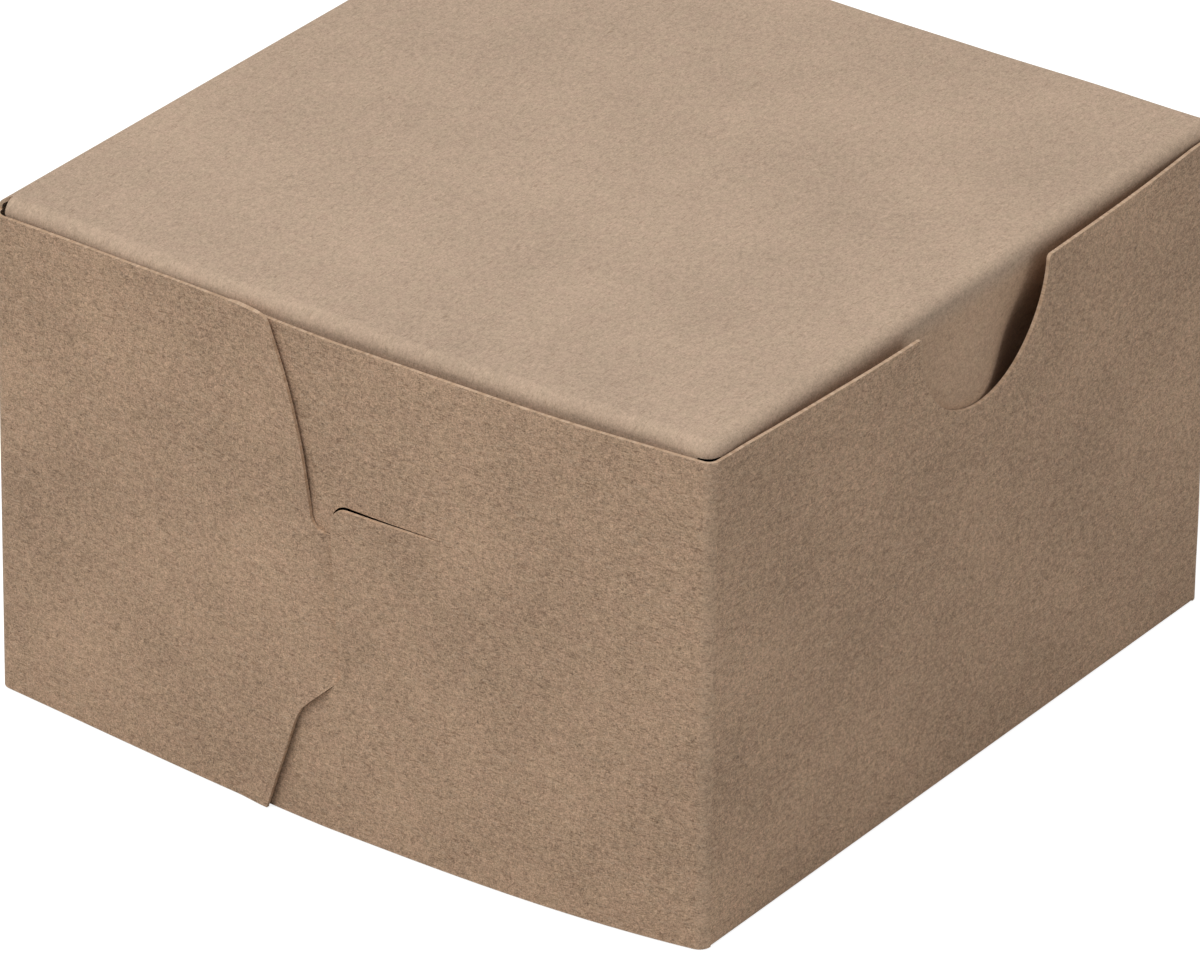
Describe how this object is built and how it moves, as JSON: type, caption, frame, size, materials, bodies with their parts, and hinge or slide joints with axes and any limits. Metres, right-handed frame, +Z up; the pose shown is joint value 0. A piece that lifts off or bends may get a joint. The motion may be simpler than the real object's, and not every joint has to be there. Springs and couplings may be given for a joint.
{
  "type": "bakery box",
  "caption": "Small square bakery box folded from kraft paperboard, with a hinged tuck lid, a half-round thumb notch and interlocked side flaps.",
  "frame": {"origin": "middle of the base's underside, halfway between the front and back folds and between the side folds", "axes": "+Z up, -Y out of the front wall that has the thumb notch, +Y out of the back wall that carries the lid's hinge fold, +X to the right as seen from the front"},
  "size_m": [0.1106, 0.1047, 0.065],
  "materials": {
    "kraft_board": "matt uncoated kraft",
    "kraft_lid": "matt uncoated kraft"
  },
  "bodies": {
    "body": {"box_body": "kraft_board"},
    "lid": {"lid": "kraft_lid"}
  },
  "joints": [
    {"name": "lid_fold", "type": "hinge", "parent": "body", "child": "lid", "pos_m": [0, 0.05096, 0.06456], "axis": [-1, 0, 0], "range_deg": [0, 180]}
  ]
}
